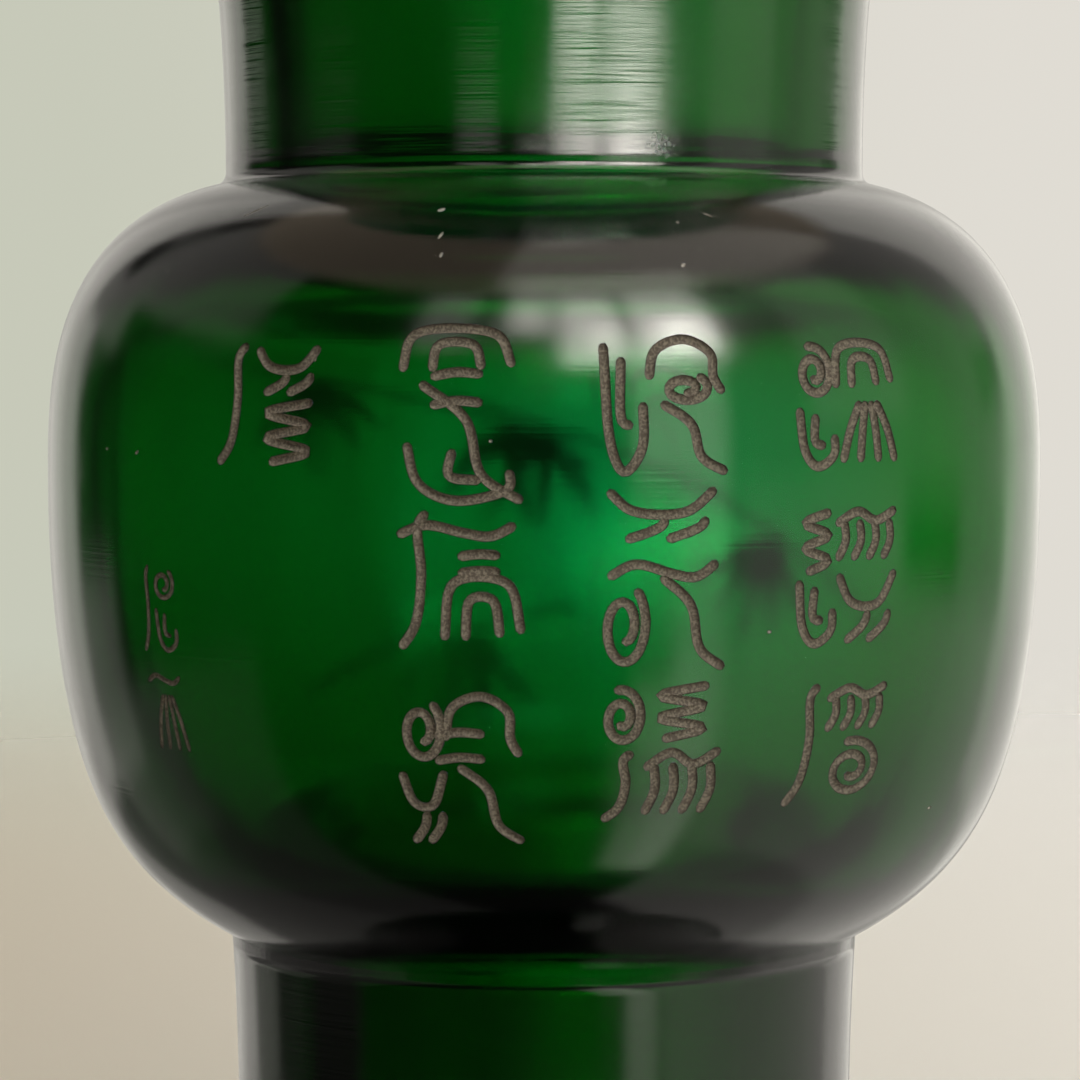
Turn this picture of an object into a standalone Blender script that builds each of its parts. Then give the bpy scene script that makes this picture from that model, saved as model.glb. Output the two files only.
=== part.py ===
"""Carved glass vase: a thick-walled beaker vase with a trumpet mouth, a round bulb and a spreading foot.

Metres, +Z up, with the origin at the centre of the underside. The carved signs face -Y, the bamboo +Y.
"""

import math

import bmesh
import bpy
import numpy as np
from mathutils import Vector
from mathutils.bvhtree import BVHTree

# Heights
FOOT_RIM_HEIGHT = 0.007
LOWER_HEIGHT = 0.082
BULB_LOWER_HEIGHT = 0.0446
SHOULDER_HEIGHT = 0.0291
NECK_HEIGHT = 0.095
WAIST_DROP = 0.020

# Outer radii
FOOT_RADIUS = 0.0455
FOOT_STEP = 0.0012
WAIST_RADIUS = 0.0302
COLUMN_TOP_RADIUS = 0.0308
BULB_RADIUS = 0.04845
NECK_RADIUS = 0.0311
MOUTH_RADIUS = 0.058

# Walls and hollows
LIP_WALL = 0.0042
NECK_WALL = 0.0073
BULB_WALL = 0.0052
COLUMN_WALL = 0.0110
CAVITY_TOP_DROP = 0.0107
CAVITY_BOTTOM_RISE = 0.0080
BORE_SPREAD = 0.007
FLOOR_LEVEL = 0.018
FLOOR_ROUND = 0.010
FOOT_RING_WIDTH = 0.0065
RECESS_DEPTH = 0.004

# Edges
EDGE_ROUND = 0.0006
NECK_FILLET = 0.0013
BORE_ROUND = 0.0070
LIP_ROUND = 0.0015

# Curves of the outline: powers of the superellipses and flares, and shares of a step
SHOULDER_POWER = 2.7
SHOULDER_OVERRUN = 0.0096
TAPER_SHARE = 0.46
TAPER_POWER = 2.2
UNDERCUT_POWER = 6.8
FLARE_POWER = 2.2
CAVITY_TOP_POWER = 2.6
CAVITY_BOTTOM_POWER = 2.1
FLOOR_POWER = 2.4

# Fineness of the facets
SEGMENTS = 40
FINE_STEPS = 60
CORNER_STEPS = 7
SHARP_ANGLE = math.radians(35)
OUTSIDE_TOLERANCE = 0.0003
INSIDE_TOLERANCE = 0.0005
STROKE_TOLERANCE = 0.00025
CUTTER_RISE = 0.0007

# Carved signs on the front of the bulb
STROKE_WIDTH = 0.00088
STROKE_DEPTH = 0.00045
SMALL_STROKE_WIDTH = 0.0005
STROKE_END_SHARE = 0.8
SIGN_WIDTH = 0.0115
SIGN_HEIGHT = 0.0135
SMALL_SIGN_WIDTH = 0.0052
SMALL_SIGN_HEIGHT = 0.0078
COLUMN_PITCH = 0.0180
FIRST_COLUMN = math.radians(33.5)
TOP_ROW_RISE = 0.0077
ROW_PITCH = 0.0150
SMALL_COLUMN = math.radians(-46.2)
SMALL_TOP_DROP = 0.0108
SMALL_ROW_PITCH = 0.0092
STROKE_STEPS = 12

# Bamboo on the back of the bulb
LEAF_LENGTH = 0.0155
LEAF_WIDTH = 0.0021
LEAF_DEPTH = 0.0004
LEAF_FAN = math.radians(92)
LEAF_DROP = 0.0008
LEAF_REACH = np.array([0.12, 0.4, 0.65, 1.0])
LEAF_SHARES = np.array([0.3, 1.0, 0.75, 0.1])
OUTER_LEAF_LOSS = 0.25
EVERY_OTHER_LOSS = 0.06
STEM_WIDTH = 0.0009
STEM_DEPTH = 0.0004
STEM_BOW = 0.002
STEM_POINTS = 9

BULB_BASE = LOWER_HEIGHT
BULB_LEVEL = BULB_BASE + BULB_LOWER_HEIGHT


def clear_scene():
    for obj in list(bpy.data.objects):
        bpy.data.objects.remove(obj, do_unlink=True)


def glass_material():
    material = bpy.data.materials.new("emerald_glass")
    material.use_nodes = True
    shader = material.node_tree.nodes["Principled BSDF"]
    shader.inputs["Base Color"].default_value = (0.02, 0.36, 0.13, 1.0)
    shader.inputs["Roughness"].default_value = 0.03
    shader.inputs["Metallic"].default_value = 0.0
    shader.inputs["Transmission Weight"].default_value = 1.0
    shader.inputs["IOR"].default_value = 1.5
    material.diffuse_color = (0.02, 0.36, 0.13, 1.0)
    return material


def quarter(edge_radius, wide_radius, wide_level, rise, power):
    """Quarter of a superellipse, from its widest point to the edge radius, as (radius, level) points."""
    turn = np.linspace(0.0, math.pi / 2, FINE_STEPS)
    radius = edge_radius + (wide_radius - edge_radius) * np.cos(turn) ** (2 / power)
    level = wide_level + rise * np.sin(turn) ** (2 / power)
    return np.column_stack([radius, level])


def round_corner(centre_radius, centre_level, size, start, end):
    turn = np.radians(np.linspace(start, end, CORNER_STEPS))
    return np.column_stack([centre_radius + size * np.cos(turn), centre_level + size * np.sin(turn)])


def flare(narrow_radius, wide_radius, narrow_level, wide_level):
    """Trumpet curve that leaves the narrow end straight and spreads towards the wide end."""
    along = np.linspace(0.0, 1.0, FINE_STEPS)
    radius = narrow_radius + (wide_radius - narrow_radius) * along**FLARE_POWER
    return np.column_stack([radius, narrow_level + (wide_level - narrow_level) * along])


def shoulder_curve():
    """The bulb's upper outside, from its widest level in to where the neck's fillet begins."""
    points = quarter(
        NECK_RADIUS - SHOULDER_OVERRUN, BULB_RADIUS, BULB_LEVEL, SHOULDER_HEIGHT, SHOULDER_POWER
    )
    start = NECK_RADIUS + NECK_FILLET
    last = np.interp(-start, -points[:, 0], points[:, 1])
    return np.vstack([points[points[:, 0] > start], [start, last]])


def belly_curve():
    """The bulb's lower outside, from its widest level down to the column, which it meets in a crease."""
    along = np.linspace(0.0, 1.0, FINE_STEPS)
    step = BULB_RADIUS - COLUMN_TOP_RADIUS
    drop = TAPER_SHARE * along**TAPER_POWER + (1 - TAPER_SHARE) * along**UNDERCUT_POWER
    return np.column_stack([BULB_RADIUS - step * drop, BULB_LEVEL - BULB_LOWER_HEIGHT * along])


def column_curve():
    """The short stretch under the bulb, which narrows to the waist."""
    along = np.linspace(1.0, 0.0, FINE_STEPS)
    radius = WAIST_RADIUS + (COLUMN_TOP_RADIUS - WAIST_RADIUS) * along**2
    return np.column_stack([radius, BULB_BASE - WAIST_DROP * (1 - along)])


NECK_BASE = shoulder_curve()[-1][1] + NECK_FILLET
TOP_LEVEL = NECK_BASE + NECK_HEIGHT
WAIST_LEVEL = BULB_BASE - WAIST_DROP
CAVITY_TOP = NECK_BASE - CAVITY_TOP_DROP
CAVITY_BOTTOM = BULB_BASE + CAVITY_BOTTOM_RISE


def outside():
    """Outline of the outside, from the lip down to the foot and in under the recess."""
    lip = round_corner(MOUTH_RADIUS - LIP_ROUND, TOP_LEVEL - LIP_ROUND, LIP_ROUND, 90, 0)
    neck = flare(NECK_RADIUS, MOUTH_RADIUS, NECK_BASE, TOP_LEVEL - LIP_ROUND)[::-1]
    fillet = round_corner(NECK_RADIUS + NECK_FILLET, NECK_BASE, NECK_FILLET, 180, 270)
    foot = flare(WAIST_RADIUS, FOOT_RADIUS - FOOT_STEP, WAIST_LEVEL, FOOT_RIM_HEIGHT)
    rim_top = round_corner(
        FOOT_RADIUS - EDGE_ROUND, FOOT_RIM_HEIGHT - EDGE_ROUND, EDGE_ROUND, 90, 0
    )
    rim_bottom = round_corner(FOOT_RADIUS - EDGE_ROUND, EDGE_ROUND, EDGE_ROUND, 0, -90)
    ring_inside = FOOT_RADIUS - FOOT_RING_WIDTH
    recess = np.array(
        [[ring_inside, 0.0], [ring_inside - RECESS_DEPTH / 2, RECESS_DEPTH], [0.0, RECESS_DEPTH]]
    )
    return [
        lip, neck, fillet, shoulder_curve()[::-1], belly_curve(), column_curve(),
        foot, rim_top, rim_bottom, recess,
    ]


def inside():
    """Outline of the hollow, from the middle of its floor up to the lip."""
    bore_low = WAIST_RADIUS - COLUMN_WALL
    bore_high = NECK_RADIUS - NECK_WALL
    cavity = BULB_RADIUS - BULB_WALL
    floor_top = FLOOR_LEVEL + FLOOR_ROUND
    floor = quarter(0.0, bore_low + BORE_SPREAD, floor_top, -FLOOR_ROUND, FLOOR_POWER)[::-1]
    bore = flare(bore_low, bore_low + BORE_SPREAD, WAIST_LEVEL, floor_top)[::-1]
    low_edge = round_corner(
        bore_low + BORE_ROUND, CAVITY_BOTTOM - BORE_ROUND, BORE_ROUND, 180, 90
    )
    low = quarter(
        bore_low + BORE_ROUND, cavity, BULB_LEVEL, CAVITY_BOTTOM - BULB_LEVEL, CAVITY_BOTTOM_POWER
    )[::-1]
    high = quarter(
        bore_high + BORE_ROUND, cavity, BULB_LEVEL, CAVITY_TOP - BULB_LEVEL, CAVITY_TOP_POWER
    )
    high_edge = round_corner(
        bore_high + BORE_ROUND, CAVITY_TOP + BORE_ROUND, BORE_ROUND, -90, -180
    )
    neck = flare(
        bore_high, MOUTH_RADIUS - LIP_WALL, CAVITY_TOP + BORE_ROUND, TOP_LEVEL - LIP_ROUND
    )
    lip = round_corner(
        MOUTH_RADIUS - LIP_WALL + LIP_ROUND, TOP_LEVEL - LIP_ROUND, LIP_ROUND, 180, 90
    )
    return [floor, bore, low_edge, low, high, high_edge, neck, lip]


def thinned(points, tolerance):
    """The points that a line needs to stay within the tolerance of all of them."""
    if len(points) < 3:
        return points
    first, last = points[0], points[-1]
    along = last - first
    away = np.abs(
        along[0] * (points[:, 1] - first[1]) - along[1] * (points[:, 0] - first[0])
    ) / max(float(np.hypot(*along)), 1e-9)
    farthest = int(np.argmax(away))
    if away[farthest] < tolerance:
        return np.array([first, last])
    before = thinned(points[: farthest + 1], tolerance)
    return np.vstack([before[:-1], thinned(points[farthest:], tolerance)])


def turned_body(material):
    """The vase without its carving, turned from its outline."""
    outline = np.vstack(
        [thinned(stretch, INSIDE_TOLERANCE) for stretch in inside()]
        + [thinned(stretch, OUTSIDE_TOLERANCE) for stretch in outside()]
    )
    mesh = bmesh.new()
    profile = [mesh.verts.new((radius, 0.0, level)) for radius, level in outline]
    edges = [mesh.edges.new(pair) for pair in zip(profile[:-1], profile[1:])]
    bmesh.ops.spin(
        mesh,
        geom=profile + edges,
        cent=(0.0, 0.0, 0.0),
        axis=(0.0, 0.0, 1.0),
        angle=2 * math.pi,
        steps=SEGMENTS,
        use_merge=True,
    )
    bmesh.ops.remove_doubles(mesh, verts=mesh.verts, dist=0.00001)
    bmesh.ops.dissolve_degenerate(mesh, edges=mesh.edges, dist=0.00001)
    bmesh.ops.recalc_face_normals(mesh, faces=mesh.faces)
    data = bpy.data.meshes.new("carved_glass_vase")
    mesh.to_mesh(data)
    mesh.free()
    data.materials.append(material)
    body = bpy.data.objects.new("carved_glass_vase", data)
    bpy.context.collection.objects.link(body)
    return body


def smooth(*corners):
    """A stroke that runs evenly through its corners, in a box from -1 to 1 each way."""
    points = np.array(corners)
    padded = np.vstack([2 * points[0] - points[1], points, 2 * points[-1] - points[-2]])
    along = np.linspace(0.0, 1.0, STROKE_STEPS)[:, None]
    stretches = []
    for a, b, c, d in zip(padded, padded[1:], padded[2:], padded[3:]):
        bend = (2 * a - 5 * b + 4 * c - d) * along**2 + (3 * b - a - 3 * c + d) * along**3
        stretches.append(0.5 * (2 * b + (c - a) * along + bend))
    return np.vstack(stretches)


def coil(turns, start, inner, outer):
    """A stroke that winds round the middle of its box."""
    turned = np.linspace(0.0, 2 * math.pi * turns, 2 * STROKE_STEPS)
    radius = np.linspace(inner, outer, 2 * STROKE_STEPS)
    return np.column_stack([radius * np.cos(turned + start), radius * np.sin(turned + start)])


def reed():
    return [smooth((0.5, 1.0), (0.1, 0.75), (0.25, 0.1), (0.0, -0.6), (-0.7, -1.0))]


def arch():
    return [smooth((-0.95, -0.5), (-0.75, 0.55), (0.0, 0.95), (0.7, 0.45), (0.75, -0.4), (1.0, -1.0))]


def rungs():
    return [smooth((-0.8, rise - 0.1), (0.0, rise + 0.08), (0.8, rise)) for rise in (-0.55, 0.55)]


def ring():
    return [coil(-1.45, math.radians(60), 0.95, 0.3)]


def curl():
    return [coil(1.7, math.radians(220), 0.2, 0.95)]


def fork():
    legs = [smooth((x, -0.15), (x - 0.15, -0.55), (x - 0.7, -1.0)) for x in (0.05, 0.75)]
    return legs + [smooth((-0.95, 0.9), (-0.5, 0.1), (0.35, 0.05), (0.9, 0.95))]


def wave():
    return [smooth((-1.0, -0.25), (-0.5, 0.3), (0.15, -0.1), (0.6, -0.25), (1.0, 0.35))]


def tail():
    return [smooth((-0.7, 0.95), (0.05, 0.35), (0.3, -0.55), (0.95, -1.0))]


def fan():
    return [smooth((0.25 * leg, 0.95), (0.6 * leg, 0.1), (0.85 * leg, -0.9)) for leg in (-1, -0.35, 0.35, 1)]


def comb():
    teeth = [smooth((x, 0.55), (x + 0.06, -0.2), (x - 0.2, -0.9)) for x in (-0.75, -0.25, 0.25, 0.75)]
    return teeth + [smooth((-1.0, 0.4), (-0.3, 0.85), (0.3, 0.5), (1.0, 0.9))]


def nest():
    arcs = []
    for size in (0.45, 1.0):
        top = 0.9 * size - 0.1
        foot = (0.95 * size, 0.2 * size - 0.8)
        arcs.append(smooth((-0.95 * size, -0.8), (-0.7 * size, top), (0.6 * size, top), foot))
    return arcs


def bolt():
    return [smooth((0.7, 0.95), (-0.6, 0.6), (0.6, 0.2), (-0.6, -0.2), (0.6, -0.6), (-0.5, -0.98))]


def hook():
    outer = smooth((-0.8, 0.9), (-0.6, -0.4), (0.0, -0.95), (0.8, -0.6), (0.85, 0.05))
    return [outer, smooth((-0.05, 0.7), (-0.1, -0.15), (0.4, -0.3))]


# Places in a sign: middle and half size of each, where the sign runs from -1 to 1 each way
TOP = (0.0, 0.72, 0.9, 0.28)
MIDDLE = (0.0, 0.1, 0.85, 0.26)
CORE = (0.0, 0.3, 0.5, 0.3)
LOW = (0.0, -0.65, 0.95, 0.36)
LOW_SWEEP = (0.1, -0.3, 0.95, 0.7)
LEFT = (-0.62, 0.0, 0.36, 1.0)
LEFT_HIGH = (-0.6, 0.5, 0.36, 0.45)
LEFT_LOW = (-0.6, -0.5, 0.38, 0.5)
RIGHT_HIGH = (0.35, 0.58, 0.6, 0.4)
RIGHT_MIDDLE = (0.35, 0.25, 0.4, 0.22)
RIGHT_LOW = (0.4, -0.45, 0.62, 0.52)

# Each sign: column from the right, row from the top, height share, groups of strokes. None is a letter.
SIGNS = (
    (0, 0, 0.82, ((LEFT_HIGH, curl), (LEFT_LOW, hook), (RIGHT_HIGH, nest), (RIGHT_LOW, fan))),
    (0, 1, 0.9, ((LEFT_HIGH, bolt), (LEFT_LOW, hook), (RIGHT_HIGH, comb), (RIGHT_LOW, fork))),
    (0, 2, 0.8, ((LEFT, reed), (RIGHT_HIGH, comb), (RIGHT_LOW, curl))),
    (1, 0, 0.88, ((LEFT, hook), (RIGHT_HIGH, arch), (RIGHT_MIDDLE, ring), (RIGHT_LOW, tail))),
    (1, 1, 1.18, ((TOP, fork), (MIDDLE, wave), (LEFT_LOW, ring), (RIGHT_LOW, tail))),
    (1, 2, 0.9, ((LEFT_HIGH, curl), (LEFT_LOW, reed), (RIGHT_HIGH, bolt), (RIGHT_LOW, comb))),
    (2, 0.05, 1.1, ((TOP, nest), (CORE, rungs), (LOW, hook), (LOW_SWEEP, tail))),
    (2, 1, 0.88, ((TOP, wave), (LEFT, reed), (RIGHT_MIDDLE, rungs), (RIGHT_LOW, nest))),
    (2, 2.1, 1.0, ((LEFT_HIGH, ring), (LEFT_LOW, fork), (RIGHT_HIGH, arch), (CORE, rungs), (RIGHT_LOW, tail))),
    (3, 0, 0.78, ((LEFT, reed), (RIGHT_HIGH, fork), (RIGHT_LOW, bolt))),
)
SMALL_SIGNS = (((LEFT, reed), (RIGHT_HIGH, ring), (RIGHT_LOW, hook)), ((TOP, wave), (LOW_SWEEP, fan)))


def sign_strokes(groups, angle, level, width, height):
    """The strokes of one sign as paths of (angle, level) on the bulb."""
    paths = []
    for (x_middle, y_middle, x_half, y_half), group in groups:
        for stroke in group():
            flat = (stroke * (x_half, y_half) + (x_middle, y_middle)) * (width / 2, height / 2)
            flat = thinned(flat, STROKE_TOLERANCE)
            paths.append(np.column_stack([angle + flat[:, 0] / BULB_RADIUS, level + flat[:, 1]]))
    return paths


def sign_paths():
    """Every stroke on the front, with the width that it is cut to."""
    paths = []
    for column, row, share, groups in SIGNS:
        angle = FIRST_COLUMN - column * COLUMN_PITCH / BULB_RADIUS
        level = BULB_LEVEL + TOP_ROW_RISE - row * ROW_PITCH
        strokes = sign_strokes(groups, angle, level, SIGN_WIDTH, SIGN_HEIGHT * share)
        paths += [(stroke, STROKE_WIDTH) for stroke in strokes]
    for row, groups in enumerate(SMALL_SIGNS):
        level = BULB_LEVEL - SMALL_TOP_DROP - row * SMALL_ROW_PITCH
        strokes = sign_strokes(groups, SMALL_COLUMN, level, SMALL_SIGN_WIDTH, SMALL_SIGN_HEIGHT)
        paths += [(stroke, SMALL_STROKE_WIDTH) for stroke in strokes]
    return paths


def surface_at(tree, angle, level):
    """Point and outward normal on the outside, where angle 0 faces -Y and grows towards +X."""
    outward = Vector((math.sin(angle), -math.cos(angle), 0.0))
    start = outward * (2 * BULB_RADIUS) + Vector((0.0, 0.0, level))
    point, normal, _, _ = tree.ray_cast(start, -outward)
    return point, normal


def groove(mesh, tree, path, widths, depth):
    """A three-sided cutter along a path on the bulb: its edge runs at the depth, and it widens outwards."""
    points = [surface_at(tree, angle, level) for angle, level in path]
    rings = []
    for index, (point, normal) in enumerate(points):
        before = points[max(index - 1, 0)][0]
        after = points[min(index + 1, len(points) - 1)][0]
        side = (after - before).cross(normal).normalized()
        deep = depth * widths[index] / max(widths)
        half = widths[index] / 2 * (deep + CUTTER_RISE) / deep
        top = point + normal * CUTTER_RISE
        corners = (top + side * half, top - side * half, point - normal * deep)
        rings.append([mesh.verts.new(corner) for corner in corners])
    for ring, following in zip(rings[:-1], rings[1:]):
        for corner in range(len(ring)):
            turned = (corner + 1) % len(ring)
            mesh.faces.new((ring[corner], ring[turned], following[turned], following[corner]))
    mesh.faces.new(rings[0][::-1])
    mesh.faces.new(rings[-1])


def cut_signs(mesh, tree):
    for path, width in sign_paths():
        end = width * STROKE_END_SHARE
        widths = [end] + [width] * (len(path) - 2) + [end]
        groove(mesh, tree, path, widths, STROKE_DEPTH * width / STROKE_WIDTH)


# Each stem: start and end, as degrees from the middle of the back and rise over the bulb's widest level.
# Then its fans: share along the stem, the way that the middle leaf points (down being 0), number of leaves.
STEMS = (
    ((-60, -0.022), (14, 0.011), ((0.36, 12, 5), (0.80, 20, 4))),
    ((62, 0.018), (-4, 0.003), ((0.40, -8, 5), (0.84, -16, 3))),
    ((40, -0.030), (-6, -0.019), ((0.62, 6, 4),)),
)


def stem_points(start, end, along):
    """Points (angle, level) along a stem, which bows a little upwards."""
    degrees = start[0] + (end[0] - start[0]) * along
    rise = start[1] + (end[1] - start[1]) * along + STEM_BOW * np.sin(math.pi * along)
    return np.column_stack([math.pi + np.radians(degrees), BULB_LEVEL + rise])


def cut_bamboo(mesh, tree):
    for start, end, fans in STEMS:
        stem = stem_points(start, end, np.linspace(0.0, 1.0, STEM_POINTS))
        groove(mesh, tree, stem, [STEM_WIDTH] * STEM_POINTS, STEM_DEPTH)
        for share, middle, count in fans:
            angle, level = stem_points(start, end, np.array([share]))[0]
            for leaf in range(count):
                side = leaf / (count - 1) - 0.5
                heading = math.radians(middle) + LEAF_FAN * side
                length = LEAF_LENGTH * (1.0 - OUTER_LEAF_LOSS * abs(side) - EVERY_OTHER_LOSS * (leaf % 2))
                reach = LEAF_REACH * length
                across = angle + reach * math.sin(heading) / BULB_RADIUS
                down = level - LEAF_DROP - reach * math.cos(heading)
                leaf_path = np.column_stack([across, down])
                groove(mesh, tree, leaf_path, LEAF_WIDTH * LEAF_SHARES, LEAF_DEPTH)


def carving_cutter(body):
    """Every groove as one cutter, laid on the facets of the uncarved body."""
    tree = BVHTree.FromPolygons(
        [vertex.co.copy() for vertex in body.data.vertices],
        [list(polygon.vertices) for polygon in body.data.polygons],
    )
    mesh = bmesh.new()
    cut_signs(mesh, tree)
    cut_bamboo(mesh, tree)
    bmesh.ops.recalc_face_normals(mesh, faces=mesh.faces)
    data = bpy.data.meshes.new("carving_cutter")
    mesh.to_mesh(data)
    mesh.free()
    cutter = bpy.data.objects.new("carving_cutter", data)
    cutter.hide_render = True
    cutter.display_type = "WIRE"
    bpy.context.collection.objects.link(cutter)
    return cutter


def carve(body):
    cut = body.modifiers.new("carving", "BOOLEAN")
    cut.operation = "DIFFERENCE"
    cut.solver = "EXACT"
    cut.use_self = True
    cut.object = carving_cutter(body)


def main():
    clear_scene()
    body = turned_body(glass_material())
    carve(body)
    body.data.shade_smooth()
    body.data.set_sharp_from_angle(angle=SHARP_ANGLE)


main()
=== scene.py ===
"""Looks of the carved glass vase: polished emerald glass, ground strokes, a pale studio and the camera."""

import math

import bmesh
import bpy
import numpy as np
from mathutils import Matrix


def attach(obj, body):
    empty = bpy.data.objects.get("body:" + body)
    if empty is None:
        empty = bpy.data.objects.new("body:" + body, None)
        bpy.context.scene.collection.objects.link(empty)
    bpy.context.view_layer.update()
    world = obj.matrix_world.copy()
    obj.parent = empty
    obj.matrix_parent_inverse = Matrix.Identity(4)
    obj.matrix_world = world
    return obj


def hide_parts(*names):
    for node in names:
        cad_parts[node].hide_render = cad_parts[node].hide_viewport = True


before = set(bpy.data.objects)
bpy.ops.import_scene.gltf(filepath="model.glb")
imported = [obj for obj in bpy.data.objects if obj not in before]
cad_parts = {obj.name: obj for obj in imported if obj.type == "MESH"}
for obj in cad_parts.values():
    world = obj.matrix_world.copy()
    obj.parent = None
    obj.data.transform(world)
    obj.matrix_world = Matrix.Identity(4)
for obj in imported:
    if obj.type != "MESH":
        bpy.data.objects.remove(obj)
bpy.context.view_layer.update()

# Heights of the turned body
FOOT_RIM_HEIGHT = 0.007
LOWER_HEIGHT = 0.082
BULB_LOWER_HEIGHT = 0.0446
SHOULDER_HEIGHT = 0.0291
NECK_HEIGHT = 0.095
WAIST_DROP = 0.020

# Outer radii
FOOT_RADIUS = 0.0455
FOOT_STEP = 0.0012
WAIST_RADIUS = 0.0302
COLUMN_TOP_RADIUS = 0.0308
BULB_RADIUS = 0.04845
NECK_RADIUS = 0.0311
MOUTH_RADIUS = 0.058

# Walls and hollows
LIP_WALL = 0.0042
NECK_WALL = 0.0073
BULB_WALL = 0.0052
COLUMN_WALL = 0.0110
CAVITY_TOP_DROP = 0.0107
CAVITY_BOTTOM_RISE = 0.0080
BORE_SPREAD = 0.007
FLOOR_LEVEL = 0.018
FLOOR_ROUND = 0.010
FLOOR_POWER = 2.4
FOOT_RING_WIDTH = 0.0065
RECESS_DEPTH = 0.004

# Edges and curves
EDGE_ROUND = 0.0006
NECK_FILLET = 0.0013
BORE_ROUND = 0.0070
LIP_ROUND = 0.0015
SHOULDER_POWER = 2.7
SHOULDER_OVERRUN = 0.0096
TAPER_SHARE = 0.46
TAPER_POWER = 2.2
UNDERCUT_POWER = 6.8
FLARE_POWER = 2.2
CAVITY_TOP_POWER = 2.6
CAVITY_BOTTOM_POWER = 2.1

# Fineness of the mesh
SEGMENTS = 176
CURVE_STEPS = 36
CORNER_STEPS = 7
STROKE_STEPS = 12

# Carved signs on the front
STROKE_WIDTH = 0.00088
STROKE_DEPTH = 0.00042
SMALL_STROKE_WIDTH = 0.0005
SIGN_WIDTH = 0.0115
SIGN_HEIGHT = 0.0135
SMALL_SIGN_WIDTH = 0.0052
SMALL_SIGN_HEIGHT = 0.0078
COLUMN_PITCH = 0.0180
FIRST_COLUMN = math.radians(33.5)
TOP_ROW_RISE = 0.0077
ROW_PITCH = 0.0150
SMALL_COLUMN = math.radians(-46.2)
SMALL_TOP_DROP = 0.0108
SMALL_ROW_PITCH = 0.0092
CUTTER_RISE = 0.0005
CUTTER_FLARE = 1.3
GROOVE_SIDES = 8
RING_GAP = 0.00035
END_START = 0.06
END_LENGTH = 0.5

# Bamboo on the back
LEAF_LENGTH = 0.0155
LEAF_WIDTH = 0.0021
LEAF_DEPTH = 0.0004
LEAF_FAN = math.radians(92)
LEAF_DROP = 0.0008
LEAF_START = 0.04
LEAF_POINTS = 18
SIDE_LEAF_LOSS = 0.25
ODD_LEAF_LOSS = 0.06
LEAF_BROADEST = 0.65
LEAF_FULLNESS = 0.8
LEAF_TIP = 0.06
STEM_WIDTH = 0.0009
STEM_DEPTH = 0.0004
STEM_BOW = 0.002
STEM_POINTS = 40

LINING = 0.00004
CHIP_DEPTH = 0.00012
CHIP_POINTS = 5
CHIP_TAPER = 1.8

# Joining the carved outside of the bulb to the rest
HOLD_RADIUS = 0.028
SEAM_GAP = 0.000001
GROUND, CHIPPED, SPARE = 1, 2, 3
SHARP_BEND = math.radians(28)
GROOVE_EDGE = math.radians(50)
CHUNK = 4000

# Finish of the glass: lengths in metres, scales per metre
GLASS_TINT = (0.72, 0.97, 0.84, 1.0)
GLASS_COLOUR = (0.0, 0.835, 0.55, 1.0)
GLASS_DENSITY = 800.0
OUTER_ROUGHNESS = 0.12
INNER_ROUGHNESS = 0.11
SMUDGE_ROUGHNESS = 0.09
SMUDGE_SCALE = 60.0
SMUDGE_RANGE = (0.45, 0.7)
LINE_RUN = 30.0
LINE_COUNT = 3500.0
LINE_HEIGHT = 0.000007
FINE_LINES = 3.1
NECK_LINE_TILT = 0.225
NECK_LINE_BASE_FADE = 0.001
NECK_LINE_TOP = 0.19
NECK_LINE_TOP_FADE = 0.03
FINE_LINE_RANGE = (0.2, 0.5)
WAVE_SCALE = (170.0, 170.0, 26.0)
WAVE_HEIGHT = 0.00012
SCUFF_PLACE = (0.0105, -0.0293, 0.1575)
SCUFF_REACH = 0.0045
SCUFF_SCALE = 2500.0
SCUFF_ROUGHNESS = 0.35
SCUFF_RANGE = (0.42, 0.6)
GLASS_IOR = 1.5

# Finish of the ground grooves
STROKE_COLOURS = ((0.085, 0.071, 0.055, 1.0), (0.205, 0.18, 0.14, 1.0))
# Painted shade that darkens the grooves towards their edges, and the depth over which it fades out
PAINTED_EDGE_SHADE = (0.30, 0.28, 0.26, 1.0)
PAINTED_SHADE_DEPTH = 0.00022
CHIP_COLOURS = ((0.34, 0.33, 0.28, 1.0), (0.64, 0.63, 0.57, 1.0))
DUST_SCALE = 4200.0
GRAIN_SCALE = 6000.0
GRAIN_HEIGHT = 0.00006
DUST_RANGE = (0.38, 0.66)
GROUND_ROUGHNESS = 0.9
GRAIN_STRENGTH = 0.8

# Floor
FLOOR_RADIUS = 1.4
FLOOR_SIDES = 96
# Painted shade darkens the floor's left side and painted light brightens its right, blended over this
# spread
FLOOR_LEFT_PAINTED_SHADE = (0.50, 0.45, 0.36, 1.0)
FLOOR_RIGHT_PAINTED_LIGHT = (0.89, 0.90, 0.90, 1.0)
FLOOR_ROUGHNESS = 0.7
PAINTED_SHADE_SPREAD = 0.25
FADE_START = 0.35
FADE_END = 1.35

BULB_BASE = LOWER_HEIGHT
BULB_LEVEL = BULB_BASE + BULB_LOWER_HEIGHT
CARVED_TOP = BULB_LEVEL + 0.0262
CARVED_FOOT = BULB_LEVEL - 0.0418
WAIST_LEVEL = BULB_BASE - WAIST_DROP


def eased(count):
    """Shares from 0 to 1 that lie closer together at both ends."""
    return 0.5 - 0.5 * np.cos(np.linspace(0.0, math.pi, count))


def quarter(edge_radius, wide_radius, wide_level, rise, power):
    turn = eased(CURVE_STEPS) * math.pi / 2
    radius = edge_radius + (wide_radius - edge_radius) * np.cos(turn) ** (2 / power)
    level = wide_level + rise * np.sin(turn) ** (2 / power)
    return np.column_stack([radius, level])


def round_corner(centre_radius, centre_level, size, start, end):
    turn = np.radians(np.linspace(start, end, CORNER_STEPS))
    return np.column_stack([centre_radius + size * np.cos(turn), centre_level + size * np.sin(turn)])


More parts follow.
